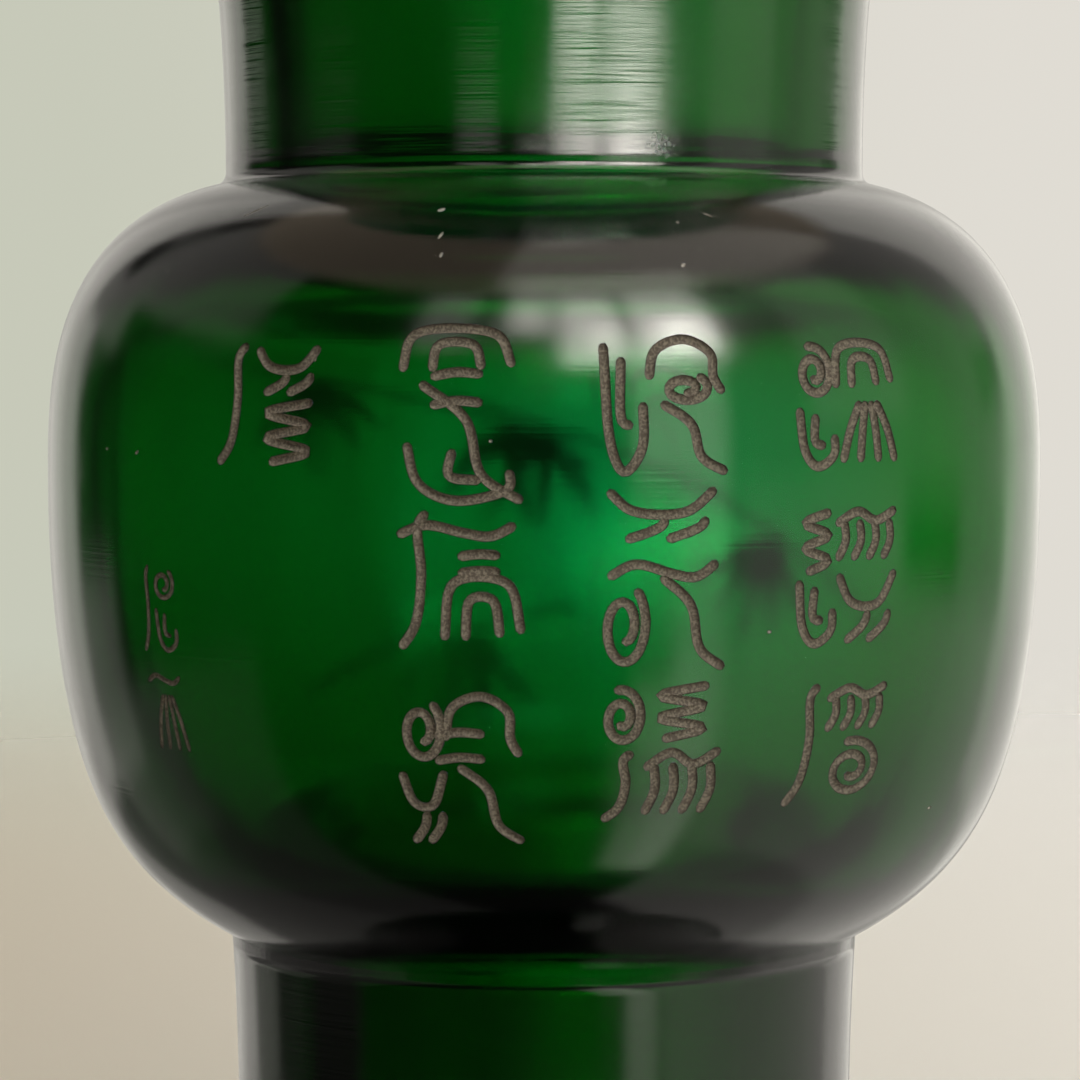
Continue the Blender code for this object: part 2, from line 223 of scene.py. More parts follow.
def flare(narrow_radius, wide_radius, narrow_level, wide_level):
    along = np.linspace(0.0, 1.0, CURVE_STEPS)
    radius = narrow_radius + (wide_radius - narrow_radius) * along**FLARE_POWER
    return np.column_stack([radius, narrow_level + (wide_level - narrow_level) * along])


def shoulder_curve():
    points = quarter(
        NECK_RADIUS - SHOULDER_OVERRUN, BULB_RADIUS, BULB_LEVEL, SHOULDER_HEIGHT, SHOULDER_POWER
    )
    start = NECK_RADIUS + NECK_FILLET
    last = np.interp(-start, -points[:, 0], points[:, 1])
    return np.vstack([points[points[:, 0] > start + 0.0001], [start, last]])


def belly_curve():
    along = np.linspace(0.0, 1.0, 2 * CURVE_STEPS)
    step = BULB_RADIUS - COLUMN_TOP_RADIUS
    drop = TAPER_SHARE * along**TAPER_POWER + (1 - TAPER_SHARE) * along**UNDERCUT_POWER
    return np.column_stack([BULB_RADIUS - step * drop, BULB_LEVEL - BULB_LOWER_HEIGHT * along])


def column_curve():
    along = np.linspace(1.0, 0.0, CURVE_STEPS // 3)
    radius = WAIST_RADIUS + (COLUMN_TOP_RADIUS - WAIST_RADIUS) * along**2
    return np.column_stack([radius, BULB_BASE - WAIST_DROP * (1 - along)])


NECK_BASE = shoulder_curve()[-1][1] + NECK_FILLET
TOP_LEVEL = NECK_BASE + NECK_HEIGHT
CAVITY_TOP = NECK_BASE - CAVITY_TOP_DROP
CAVITY_BOTTOM = BULB_BASE + CAVITY_BOTTOM_RISE


def outside():
    lip = round_corner(MOUTH_RADIUS - LIP_ROUND, TOP_LEVEL - LIP_ROUND, LIP_ROUND, 90, 0)
    neck = flare(NECK_RADIUS, MOUTH_RADIUS, NECK_BASE, TOP_LEVEL - LIP_ROUND)[::-1]
    fillet = round_corner(NECK_RADIUS + NECK_FILLET, NECK_BASE, NECK_FILLET, 180, 270)
    foot = flare(WAIST_RADIUS, FOOT_RADIUS - FOOT_STEP, WAIST_LEVEL, FOOT_RIM_HEIGHT)
    rim_top = round_corner(FOOT_RADIUS - EDGE_ROUND, FOOT_RIM_HEIGHT - EDGE_ROUND, EDGE_ROUND, 90, 0)
    rim_bottom = round_corner(FOOT_RADIUS - EDGE_ROUND, EDGE_ROUND, EDGE_ROUND, 0, -90)
    ring_inside = FOOT_RADIUS - FOOT_RING_WIDTH
    recess = np.array(
        [[ring_inside, 0.0], [ring_inside - RECESS_DEPTH / 2, RECESS_DEPTH], [0.0, RECESS_DEPTH]]
    )
    return [lip, neck, fillet, shoulder_curve()[::-1], belly_curve(), column_curve(),
            foot, rim_top, rim_bottom, recess]


def inside():
    bore_low = WAIST_RADIUS - COLUMN_WALL
    bore_high = NECK_RADIUS - NECK_WALL
    cavity = BULB_RADIUS - BULB_WALL
    floor_top = FLOOR_LEVEL + FLOOR_ROUND
    floor = quarter(0.0, bore_low + BORE_SPREAD, floor_top, -FLOOR_ROUND, FLOOR_POWER)[::-1]
    bore = flare(bore_low, bore_low + BORE_SPREAD, WAIST_LEVEL, floor_top)[::-1]
    low_edge = round_corner(bore_low + BORE_ROUND, CAVITY_BOTTOM - BORE_ROUND, BORE_ROUND, 180, 90)
    low = quarter(
        bore_low + BORE_ROUND, cavity, BULB_LEVEL, CAVITY_BOTTOM - BULB_LEVEL, CAVITY_BOTTOM_POWER
    )[::-1]
    high = quarter(bore_high + BORE_ROUND, cavity, BULB_LEVEL, CAVITY_TOP - BULB_LEVEL, CAVITY_TOP_POWER)
    high_edge = round_corner(bore_high + BORE_ROUND, CAVITY_TOP + BORE_ROUND, BORE_ROUND, -90, -180)
    neck = flare(bore_high, MOUTH_RADIUS - LIP_WALL, CAVITY_TOP + BORE_ROUND, TOP_LEVEL - LIP_ROUND)
    lip = round_corner(MOUTH_RADIUS - LIP_WALL + LIP_ROUND, TOP_LEVEL - LIP_ROUND, LIP_ROUND, 180, 90)
    return [floor, bore, low_edge, low, high, high_edge, neck, lip]


def joined(stretches):
    """One line of points through all the stretches, without doubled points."""
    points = np.vstack(stretches)
    gaps = np.hypot(*(points[1:] - points[:-1]).T)
    return points[np.concatenate([[True], gaps > 0.00002])]


def mesh_object(name, corners, faces, materials):
    data = bpy.data.meshes.new(name)
    data.from_pydata([tuple(corner) for corner in corners], [], faces)
    for material in materials:
        data.materials.append(material)
    made = bpy.data.objects.new(name, data)
    bpy.context.scene.collection.objects.link(made)
    return made


def ring_corners(points):
    """Corners of the rings that the points sweep round the axis."""
    turns = np.linspace(0.0, 2 * math.pi, SEGMENTS, endpoint=False)
    ways = [(math.cos(turn), math.sin(turn)) for turn in turns]
    return [(radius * x, radius * y, level) for radius, level in points for x, y in ways]


def ring_faces(low, high):
    """Faces between two rings, each given by the index of its first corner."""
    pairs = [(step, (step + 1) % SEGMENTS) for step in range(SEGMENTS)]
    return [(low + step, high + step, high + after, low + after) for step, after in pairs]


def turned(outline, opened):
    """A body turned from a line that starts and ends on the axis, left open between two of its points."""
    corners = [(0.0, 0.0, outline[0][1]), (0.0, 0.0, outline[-1][1])] + ring_corners(outline[1:-1])
    starts = [2 + ring * SEGMENTS for ring in range(len(outline) - 2)]
    faces = []
    for point in range(1, len(outline) - 2):
        if not opened[0] <= point < opened[1]:
            faces += ring_faces(starts[point - 1], starts[point])
    for step in range(SEGMENTS):
        after = (step + 1) % SEGMENTS
        faces.append((0, starts[0] + step, starts[0] + after))
        faces.append((starts[-1] + step, 1, starts[-1] + after))
    return corners, faces


def turned_loop(points):
    """A ring-shaped body turned from a closed line."""
    starts = [ring * SEGMENTS for ring in range(len(points))]
    faces = []
    for start, following in zip(starts, starts[1:] + starts[:1]):
        faces += ring_faces(start, following)
    return ring_corners(points), faces


def smooth(*corners):
    """A stroke that runs evenly through its corners, in a box from -1 to 1 each way."""
    points = np.array(corners)
    padded = np.vstack([2 * points[0] - points[1], points, 2 * points[-1] - points[-2]])
    along = np.linspace(0.0, 1.0, STROKE_STEPS)[:, None]
    stretches = []
    for a, b, c, d in zip(padded, padded[1:], padded[2:], padded[3:]):
        bend = (2 * a - 5 * b + 4 * c - d) * along**2 + (3 * b - a - 3 * c + d) * along**3
        stretches.append(0.5 * (2 * b + (c - a) * along + bend))
    return np.vstack(stretches)


def coil(turns, start, inner, outer):
    turned_by = np.linspace(0.0, 2 * math.pi * turns, 4 * STROKE_STEPS)
    radius = np.linspace(inner, outer, 4 * STROKE_STEPS)
    return np.column_stack([radius * np.cos(turned_by + start), radius * np.sin(turned_by + start)])


def reed():
    return [smooth((0.5, 1.0), (0.1, 0.75), (0.25, 0.1), (0.0, -0.6), (-0.7, -1.0))]


def arch():
    return [smooth((-0.95, -0.5), (-0.75, 0.55), (0.0, 0.95), (0.7, 0.45), (0.75, -0.4), (1.0, -1.0))]


def rungs():
    return [smooth((-0.8, rise - 0.1), (0.0, rise + 0.08), (0.8, rise)) for rise in (-0.55, 0.55)]


def ring():
    return [coil(-1.45, math.radians(60), 0.95, 0.3)]


def curl():
    return [coil(1.7, math.radians(220), 0.2, 0.95)]


def fork():
    legs = [smooth((x, -0.15), (x - 0.15, -0.55), (x - 0.7, -1.0)) for x in (0.05, 0.75)]
    return legs + [smooth((-0.95, 0.9), (-0.5, 0.1), (0.35, 0.05), (0.9, 0.95))]


def wave():
    return [smooth((-1.0, -0.25), (-0.5, 0.3), (0.15, -0.1), (0.6, -0.25), (1.0, 0.35))]


def tail():
    return [smooth((-0.7, 0.95), (0.05, 0.35), (0.3, -0.55), (0.95, -1.0))]


def fan():
    spread_out = (-1, -0.35, 0.35, 1)
    return [smooth((0.25 * leg, 0.95), (0.6 * leg, 0.1), (0.85 * leg, -0.9)) for leg in spread_out]


def comb():
    teeth = [smooth((x, 0.55), (x + 0.06, -0.2), (x - 0.2, -0.9)) for x in (-0.75, -0.25, 0.25, 0.75)]
    return teeth + [smooth((-1.0, 0.4), (-0.3, 0.85), (0.3, 0.5), (1.0, 0.9))]


def nest():
    arcs = []
    for size in (0.45, 1.0):
        top = 0.9 * size - 0.1
        foot = (0.95 * size, 0.2 * size - 0.8)
        arcs.append(smooth((-0.95 * size, -0.8), (-0.7 * size, top), (0.6 * size, top), foot))
    return arcs


def bolt():
    return [smooth((0.7, 0.95), (-0.6, 0.6), (0.6, 0.2), (-0.6, -0.2), (0.6, -0.6), (-0.5, -0.98))]


def hook():
    outer = smooth((-0.8, 0.9), (-0.6, -0.4), (0.0, -0.95), (0.8, -0.6), (0.85, 0.05))
    return [outer, smooth((-0.05, 0.7), (-0.1, -0.15), (0.4, -0.3))]


# Places in a sign: middle and half size of each, where the sign runs from -1 to 1 each way
TOP = (0.0, 0.72, 0.9, 0.28)
MIDDLE = (0.0, 0.1, 0.85, 0.26)
CORE = (0.0, 0.3, 0.5, 0.3)
LOW = (0.0, -0.65, 0.95, 0.36)
LOW_SWEEP = (0.1, -0.3, 0.95, 0.7)
LEFT = (-0.62, 0.0, 0.36, 1.0)
LEFT_HIGH = (-0.6, 0.5, 0.36, 0.45)
LEFT_LOW = (-0.6, -0.5, 0.38, 0.5)
RIGHT_HIGH = (0.35, 0.58, 0.6, 0.4)
RIGHT_MIDDLE = (0.35, 0.25, 0.4, 0.22)
RIGHT_LOW = (0.4, -0.45, 0.62, 0.52)

# Each sign: column from the right, row from the top, height share, groups of strokes. None is a letter.
SIGNS = (
    (0, 0, 0.82, ((LEFT_HIGH, curl), (LEFT_LOW, hook), (RIGHT_HIGH, nest), (RIGHT_LOW, fan))),
    (0, 1, 0.9, ((LEFT_HIGH, bolt), (LEFT_LOW, hook), (RIGHT_HIGH, comb), (RIGHT_LOW, fork))),
    (0, 2, 0.8, ((LEFT, reed), (RIGHT_HIGH, comb), (RIGHT_LOW, curl))),
    (1, 0, 0.88, ((LEFT, hook), (RIGHT_HIGH, arch), (RIGHT_MIDDLE, ring), (RIGHT_LOW, tail))),
    (1, 1, 1.18, ((TOP, fork), (MIDDLE, wave), (LEFT_LOW, ring), (RIGHT_LOW, tail))),
    (1, 2, 0.9, ((LEFT_HIGH, curl), (LEFT_LOW, reed), (RIGHT_HIGH, bolt), (RIGHT_LOW, comb))),
    (2, 0.05, 1.1, ((TOP, nest), (CORE, rungs), (LOW, hook), (LOW_SWEEP, tail))),
    (2, 1, 0.88, ((TOP, wave), (LEFT, reed), (RIGHT_MIDDLE, rungs), (RIGHT_LOW, nest))),
    (2, 2.1, 1.0, (
        (LEFT_HIGH, ring), (LEFT_LOW, fork), (RIGHT_HIGH, arch), (CORE, rungs), (RIGHT_LOW, tail),
    )),
    (3, 0, 0.78, ((LEFT, reed), (RIGHT_HIGH, fork), (RIGHT_LOW, bolt))),
)
SMALL_SIGNS = (((LEFT, reed), (RIGHT_HIGH, ring), (RIGHT_LOW, hook)), ((TOP, wave), (LOW_SWEEP, fan)))


def sign_strokes(groups, angle, level, width, height):
    paths = []
    for (x_middle, y_middle, x_half, y_half), group in groups:
        for stroke in group():
            flat = (stroke * (x_half, y_half) + (x_middle, y_middle)) * (width / 2, height / 2)
            paths.append(np.column_stack([angle + flat[:, 0] / BULB_RADIUS, level + flat[:, 1]]))
    return paths


def sign_paths():
    paths = []
    for column, row, share, groups in SIGNS:
        angle = FIRST_COLUMN - column * COLUMN_PITCH / BULB_RADIUS
        level = BULB_LEVEL + TOP_ROW_RISE - row * ROW_PITCH
        strokes = sign_strokes(groups, angle, level, SIGN_WIDTH, SIGN_HEIGHT * share)
        paths += [(stroke, STROKE_WIDTH) for stroke in strokes]
    for row, groups in enumerate(SMALL_SIGNS):
        level = BULB_LEVEL - SMALL_TOP_DROP - row * SMALL_ROW_PITCH
        strokes = sign_strokes(groups, SMALL_COLUMN, level, SMALL_SIGN_WIDTH, SMALL_SIGN_HEIGHT)
        paths += [(stroke, SMALL_STROKE_WIDTH) for stroke in strokes]
    return paths


BULB_LINE = joined([shoulder_curve()[::-1], belly_curve()])
BULB_SLOPE = np.gradient(BULB_LINE, axis=0)


def bulb_point(angle, level):
    """Point and outward normal on the bulb, where angle 0 faces -Y and grows towards +X."""
    radius = np.interp(-level, -BULB_LINE[:, 1], BULB_LINE[:, 0])
    along_radius = np.interp(-level, -BULB_LINE[:, 1], BULB_SLOPE[:, 0])
    along_level = np.interp(-level, -BULB_LINE[:, 1], BULB_SLOPE[:, 1])
    length = math.hypot(along_radius, along_level)
    out, up = -along_level / length, along_radius / length
    way = np.array([math.sin(angle), -math.cos(angle), 0.0])
    return way * radius + (0.0, 0.0, level), way * out + (0.0, 0.0, up)


def even_path(path, gap):
    """The path with points an even gap apart along the surface."""
    flat = path * (BULB_RADIUS, 1.0)
    run = np.concatenate([[0.0], np.cumsum(np.hypot(*(flat[1:] - flat[:-1]).T))])
    count = max(int(run[-1] / gap) + 1, 6)
    marks = np.linspace(0.0, run[-1], count)
    return np.column_stack([np.interp(marks, run, path[:, 0]), np.interp(marks, run, path[:, 1])]), marks


def groove(corners, faces, path, widths, depths):
    """A round-bottomed cutter along a path on the bulb."""
    points = [bulb_point(angle, level) for angle, level in path]
    turns = np.linspace(0.0, math.pi, GROOVE_SIDES)
    first = len(corners)
    around = GROOVE_SIDES + 2
    for index, (point, normal) in enumerate(points):
        before = points[max(index - 1, 0)][0]
        after = points[min(index + 1, len(points) - 1)][0]
        side = np.cross(after - before, normal)
        side /= np.linalg.norm(side)
        half, depth = widths[index] / 2, depths[index]
        for turn in turns:
            corners.append(point + side * half * math.cos(turn) - normal * depth * math.sin(turn))
        corners.append(point - side * half * CUTTER_FLARE + normal * CUTTER_RISE)
        corners.append(point + side * half * CUTTER_FLARE + normal * CUTTER_RISE)
    for ring_start in range(first, len(corners) - around, around):
        for corner in range(around):
            turned_on = (corner + 1) % around
            faces.append((ring_start + corner, ring_start + turned_on,
                          ring_start + around + turned_on, ring_start + around + corner))
    faces.append(tuple(range(first, first + around))[::-1])
    faces.append(tuple(range(len(corners) - around, len(corners))))


def rounded_ends(marks, width):
    """Shares of the width along a stroke whose ends are round."""
    near_end = np.minimum(marks, marks[-1] - marks) + END_START * width
    share = np.clip(1 - near_end / (END_LENGTH * width), 0.0, 1.0)
    return np.sqrt(1 - share**2)


def cut_signs(corners, faces):
    for path, width in sign_paths():
        even, marks = even_path(path, RING_GAP)
        shares = rounded_ends(marks, width)
        groove(corners, faces, even, width * shares, STROKE_DEPTH * width / STROKE_WIDTH * shares)


# Each stem: start and end, as degrees from the middle of the back and rise over the bulb's widest level.
# Then its fans: share along the stem, the way that the middle leaf points (down being 0), number of leaves.
STEMS = (
    ((-60, -0.022), (14, 0.011), ((0.36, 12, 5), (0.80, 20, 4))),
    ((62, 0.018), (-4, 0.003), ((0.40, -8, 5), (0.84, -16, 3))),
    ((40, -0.030), (-6, -0.019), ((0.62, 6, 4),)),
)


def stem_points(start, end, along):
    degrees = start[0] + (end[0] - start[0]) * along
    rise = start[1] + (end[1] - start[1]) * along + STEM_BOW * np.sin(math.pi * along)
    return np.column_stack([math.pi + np.radians(degrees), BULB_LEVEL + rise])


def cut_bamboo(corners, faces):
    for start, end, fans in STEMS:
        stem = stem_points(start, end, np.linspace(0.0, 1.0, STEM_POINTS))
        groove(corners, faces, stem, [STEM_WIDTH] * STEM_POINTS, [STEM_DEPTH] * STEM_POINTS)
        for share, middle, count in fans:
            angle, level = stem_points(start, end, np.array([share]))[0]
            for leaf in range(count):
                side = leaf / (count - 1) - 0.5
                heading = math.radians(middle) + LEAF_FAN * side
                length = LEAF_LENGTH * (1.0 - SIDE_LEAF_LOSS * abs(side) - ODD_LEAF_LOSS * (leaf % 2))
                reach = np.linspace(LEAF_START, 1.0, LEAF_POINTS)
                across = angle + reach * length * math.sin(heading) / BULB_RADIUS
                down = level - LEAF_DROP - reach * length * math.cos(heading)
                body = np.sin(math.pi * reach**LEAF_BROADEST) ** LEAF_FULLNESS + LEAF_TIP
                path = np.column_stack([across, down])
                groove(corners, faces, path, LEAF_WIDTH * body, LEAF_DEPTH * body)


# Specks where the polish has chipped: degrees from the front, rise over the widest level, length, width
# and slant
CHIPS = (
    (-13.1, 0.0247, 0.0007, 0.0005, 20), (-12.3, 0.0224, 0.0007, 0.0003, 60),
    (-11.8, 0.0207, 0.0005, 0.0003, 70), (-24.7, 0.0118, 0.0007, 0.00025, 95),
    (15.7, 0.0198, 0.0005, 0.0004, 40), (20.8, 0.0243, 0.0009, 0.00025, -20),
    (16.4, 0.0236, 0.0003, 0.0003, 0), (-49.2, 0.0032, 0.0006, 0.0003, 30),
    (-55.3, 0.0034, 0.0004, 0.0003, 0), (52.2, -0.0295, 0.0006, 0.0003, 10),
    (-41.0, 0.0249, 0.0024, 0.00022, 25), (24.0, -0.0120, 0.0004, 0.0003, 0),
    (-5.5, 0.0047, 0.0003, 0.0003, 0), (96.0, 0.0140, 0.0008, 0.0003, 35),
    (-118.0, -0.0150, 0.0005, 0.0004, 0), (141.0, -0.0260, 0.0007, 0.0003, 80),
    (-160.0, 0.0215, 0.0009, 0.0003, 15),
)


def cut_chips(corners, faces):
    for degrees, rise, length, width, slant in CHIPS:
        steps = np.linspace(-0.5, 0.5, CHIP_POINTS)
        turn = math.radians(slant)
        across = math.radians(degrees) + steps * length * math.cos(turn) / BULB_RADIUS
        up = BULB_LEVEL + rise + steps * length * math.sin(turn)
        shares = np.sqrt(1.0 - (CHIP_TAPER * steps) ** 2)
        groove(corners, faces, np.column_stack([across, up]), width * shares, CHIP_DEPTH * shares)


def add(tree, kind, inputs=(), **settings):
    """A new node of a tree, with its settings, and its inputs as values or as sockets to link."""
    made = tree.nodes.new(kind)
    for name, value in settings.items():
        setattr(made, name, value)
    for socket, value in inputs:
        if isinstance(value, bpy.types.NodeSocket):
            tree.links.new(value, made.inputs[socket])
        else:
            made.inputs[socket].default_value = value
    return made


def calculate(tree, kind, *values):
    return add(tree, "ShaderNodeMath", enumerate(values), operation=kind).outputs["Value"]


def spread(tree, value, low, high, to_low, to_high):
    """The value mapped from one range to another, eased and held at both ends."""
    inputs = (
        ("Value", value), ("From Min", low), ("From Max", high), ("To Min", to_low), ("To Max", to_high),
    )
    return add(tree, "ShaderNodeMapRange", inputs, interpolation_type="SMOOTHSTEP").outputs["Result"]


def noise(tree, vector, scale, detail=2.0):
    inputs = (("Vector", vector), ("Scale", scale), ("Detail", detail))
    return add(tree, "ShaderNodeTexNoise", inputs).outputs["Fac"]


def mixed(tree, factor, first, second):
    inputs = (("Factor", factor), ("A", first), ("B", second))
    return add(tree, "ShaderNodeMix", inputs, data_type="RGBA").outputs["Result"]


def vector_math(tree, kind, first, second, result="Vector"):
    return add(tree, "ShaderNodeVectorMath", ((0, first), (1, second)), operation=kind).outputs[result]


def near(tree, vector, centre, reach):
    """1 at a place on the surface, falling to 0 at the reach."""
    return spread(tree, vector_math(tree, "DISTANCE", vector, centre, "Value"), 0.0, reach, 1.0, 0.0)


def new_material(name):
    material = bpy.data.materials.new(name)
    material.use_nodes = True
    tree = material.node_tree
    place = add(tree, "ShaderNodeTexCoord").outputs["Object"]
    return material, tree, tree.nodes["Principled BSDF"], place


def glass_material(inner_length):
    """Emerald glass, slightly rough all over: fine turning lines outside, and waves inside."""
    material, tree, shader, place = new_material("emerald_glass")
    shader.inputs["Base Color"].default_value = GLASS_TINT
    shader.inputs["IOR"].default_value = GLASS_IOR
    shader.inputs["Transmission Weight"].default_value = 1.0

    along = add(tree, "ShaderNodeAttribute", attribute_name="along").outputs["Fac"]
    outer = calculate(tree, "GREATER_THAN", along, inner_length)
    ring_place = add(tree, "ShaderNodeSeparateXYZ", [("Vector", place)])
    lines_place = add(tree, "ShaderNodeCombineXYZ", (
        ("X", calculate(tree, "MULTIPLY", ring_place.outputs["X"], LINE_RUN)),
        ("Y", calculate(tree, "MULTIPLY", ring_place.outputs["Y"], LINE_RUN)),
        ("Z", calculate(tree, "MULTIPLY", along, LINE_COUNT)),
    )).outputs["Vector"]
    lines = noise(tree, lines_place, 1.0, 3.0)
    waves = noise(tree, vector_math(tree, "MULTIPLY", place, WAVE_SCALE), 1.0, 1.0)
    smudge = spread(tree, noise(tree, place, SMUDGE_SCALE, 3.0), *SMUDGE_RANGE, 0.0, SMUDGE_ROUGHNESS)
    scuff = near(tree, place, SCUFF_PLACE, SCUFF_REACH)
    scratches = spread(tree, noise(tree, place, SCUFF_SCALE), *SCUFF_RANGE, 0.0, 1.0)
    scuff = calculate(tree, "MULTIPLY", scuff, scratches)

    shine = calculate(tree, "ADD", smudge, OUTER_ROUGHNESS)
    shine = calculate(tree, "MAXIMUM", shine, calculate(tree, "MULTIPLY", scuff, SCUFF_ROUGHNESS))
    shine = calculate(tree, "SUBTRACT", shine, INNER_ROUGHNESS)
    shine = calculate(tree, "MULTIPLY_ADD", outer, shine, INNER_ROUGHNESS)
    tree.links.new(shine, shader.inputs["Roughness"])

    inner = calculate(tree, "SUBTRACT", 1.0, outer)
    height = calculate(tree, "MULTIPLY", calculate(tree, "MULTIPLY", waves, inner), WAVE_HEIGHT)
    height = calculate(tree, "MULTIPLY_ADD", calculate(tree, "MULTIPLY", lines, outer), LINE_HEIGHT, height)
    fine_lines = noise(tree, lines_place, FINE_LINES, 1.0)
    ground_up = spread(tree, fine_lines, *FINE_LINE_RANGE, 0.0, NECK_LINE_TILT)
    ground_up = calculate(tree, "MULTIPLY", outer, ground_up)
    level = ring_place.outputs["Z"]
    above_base = spread(tree, level, NECK_BASE, NECK_BASE + NECK_LINE_BASE_FADE, 0.0, 1.0)
    below_top = spread(tree, level, NECK_LINE_TOP, NECK_LINE_TOP + NECK_LINE_TOP_FADE, 1.0, 0.0)
    on_neck = calculate(tree, "MULTIPLY", above_base, below_top)
    upward = add(tree, "ShaderNodeCombineXYZ", [("Z", calculate(tree, "MULTIPLY", ground_up, on_neck))])
    facing = add(tree, "ShaderNodeNewGeometry").outputs["Normal"]
    tilted = vector_math(tree, "ADD", facing, upward.outputs["Vector"])
    bump = add(tree, "ShaderNodeBump", (
        ("Height", height), ("Strength", 1.0), ("Distance", 1.0), ("Normal", tilted),
    ))
    tree.links.new(bump.outputs["Normal"], shader.inputs["Normal"])

    depth = add(tree, "ShaderNodeVolumeAbsorption", (("Color", GLASS_COLOUR), ("Density", GLASS_DENSITY)))
    tree.links.new(depth.outputs["Volume"], tree.nodes["Material Output"].inputs["Volume"])
    return material


def ground_material(name, dark, pale):
    """Ground glass in the grooves: dull and grainy, dusty, and darkened by painted shade towards the
    grooves' edges.
    """
    material, tree, shader, place = new_material(name)
    dust = spread(tree, noise(tree, place, DUST_SCALE, 4.0), *DUST_RANGE, 0.0, 1.0)
    depth = add(tree, "ShaderNodeAttribute", attribute_name="depth").outputs["Fac"]
    # Painted shade: the colour is darkened where the groove is shallow, near its edges
    edge = mixed(tree, spread(tree, depth, 0.0, PAINTED_SHADE_DEPTH, 0.0, 1.0), PAINTED_EDGE_SHADE, (1.0, 1.0, 1.0, 1.0))
    colour = vector_math(tree, "MULTIPLY", mixed(tree, dust, dark, pale), edge)
    tree.links.new(colour, shader.inputs["Base Color"])
    shader.inputs["Roughness"].default_value = GROUND_ROUGHNESS
    grain = noise(tree, place, GRAIN_SCALE, 3.0)
    bump = add(tree, "ShaderNodeBump", (
        ("Height", grain), ("Strength", GRAIN_STRENGTH), ("Distance", GRAIN_HEIGHT),
    ))
    tree.links.new(bump.outputs["Normal"], shader.inputs["Normal"])
    return material


def closed(made):
    """Turns the faces of a closed mesh outwards."""
    shape = bmesh.new()
    shape.from_mesh(made.data)
    bmesh.ops.recalc_face_normals(shape, faces=shape.faces)
    shape.to_mesh(made.data)
    shape.free()
    return made


def carved_patch(band, materials):
    """The outside of the bulb as a ring-shaped body, with all the carving cut into it."""
    hold = [(HOLD_RADIUS, band[-1][1]), (HOLD_RADIUS, band[0][1])]
    corners, faces = turned_loop(np.vstack([band, hold]))
    patch = mesh_object("bulb_patch", corners, faces, materials)
    held = (len(band) - 1) * SEGMENTS
    patch.data.polygons.foreach_set("material_index", [0] * held + [SPARE] * (len(faces) - held))
    cut_corners, cut_faces = [], []
    cut_signs(cut_corners, cut_faces)
    cut_bamboo(cut_corners, cut_faces)
    strokes = len(cut_faces)
    cut_chips(cut_corners, cut_faces)
    cutter = mesh_object("carving_cutter", cut_corners, cut_faces, materials)
    slots = [GROUND] * strokes + [CHIPPED] * (len(cut_faces) - strokes)
    cutter.data.polygons.foreach_set("material_index", slots)
    cut = closed(patch).modifiers.new("carving", "BOOLEAN")
    cut.operation = "DIFFERENCE"
    cut.solver = "EXACT"
    cut.use_self = True
    cut.material_mode = "TRANSFER"
    cut.object = closed(cutter)
    bpy.context.view_layer.update()
    seen = patch.evaluated_get(bpy.context.evaluated_depsgraph_get())
    carved = bpy.data.meshes.new_from_object(seen)
    bpy.data.objects.remove(cutter, do_unlink=True)
    bpy.data.objects.remove(patch, do_unlink=True)
    return carved


def carved_vase():
    """The whole glass body: turned, with the carved outside of the bulb sewn in."""
    outline = joined(inside() + outside())
    first_outer = len(joined(inside()))
    inner_length = float(np.hypot(*(outline[1:first_outer] - outline[:first_outer - 1]).T).sum())
    carved_levels = [
        point for point in range(first_outer, len(outline)) if CARVED_FOOT < outline[point][1] < CARVED_TOP
    ]
    first, last = carved_levels[0], carved_levels[-1]
    materials = [
        glass_material(inner_length + LIP_ROUND), ground_material("ground_strokes", *STROKE_COLOURS),
        ground_material("chipped_specks", *CHIP_COLOURS), bpy.data.materials.new("spare"),
    ]
    corners, faces = turned(outline, (first, last))
    body = mesh_object("vase_glass", corners, faces, materials)
    carved = carved_patch(outline[first:last + 1], materials)
    shape = bmesh.new()
    shape.from_mesh(body.data)
    shape.from_mesh(carved)
    spare = [face for face in shape.faces if face.material_index == SPARE]
    bmesh.ops.delete(shape, geom=spare, context="FACES")
    loose = [corner for corner in shape.verts if not corner.link_faces]
    bmesh.ops.delete(shape, geom=loose, context="VERTS")
    bmesh.ops.remove_doubles(shape, verts=shape.verts, dist=SEAM_GAP)
    bmesh.ops.recalc_face_normals(shape, faces=shape.faces)
    shape.to_mesh(body.data)
    shape.free()
    return body, outline, materials


def read_out(items, name, width, kind=float):
    values = np.zeros(len(items) * width, kind)
    items.foreach_get(name, values)
    return values.reshape(-1, width) if width > 1 else values


def nearest_stretch(outline, corners):
    """For each corner: the nearest stretch of the outline, the share along it, and the depth under it."""
    flat = np.column_stack([np.hypot(corners[:, 0], corners[:, 1]), corners[:, 2]])
    along = outline[1:] - outline[:-1]
    squares = (along**2).sum(axis=1)
    stretches, shares, depths = [], [], []
    for first in range(0, len(flat), CHUNK):
        offset = flat[first:first + CHUNK, None, :] - outline[None, :-1]
        share = np.clip((offset * along).sum(axis=2) / squares, 0.0, 1.0)
        away = ((offset - share[..., None] * along) ** 2).sum(axis=2)
        nearest = away.argmin(axis=1)
        row = np.arange(len(nearest))
        stretches.append(nearest)
        shares.append(share[row, nearest])
        depths.append(np.sqrt(away[row, nearest]))
    return np.concatenate(stretches), np.concatenate(shares), np.concatenate(depths)


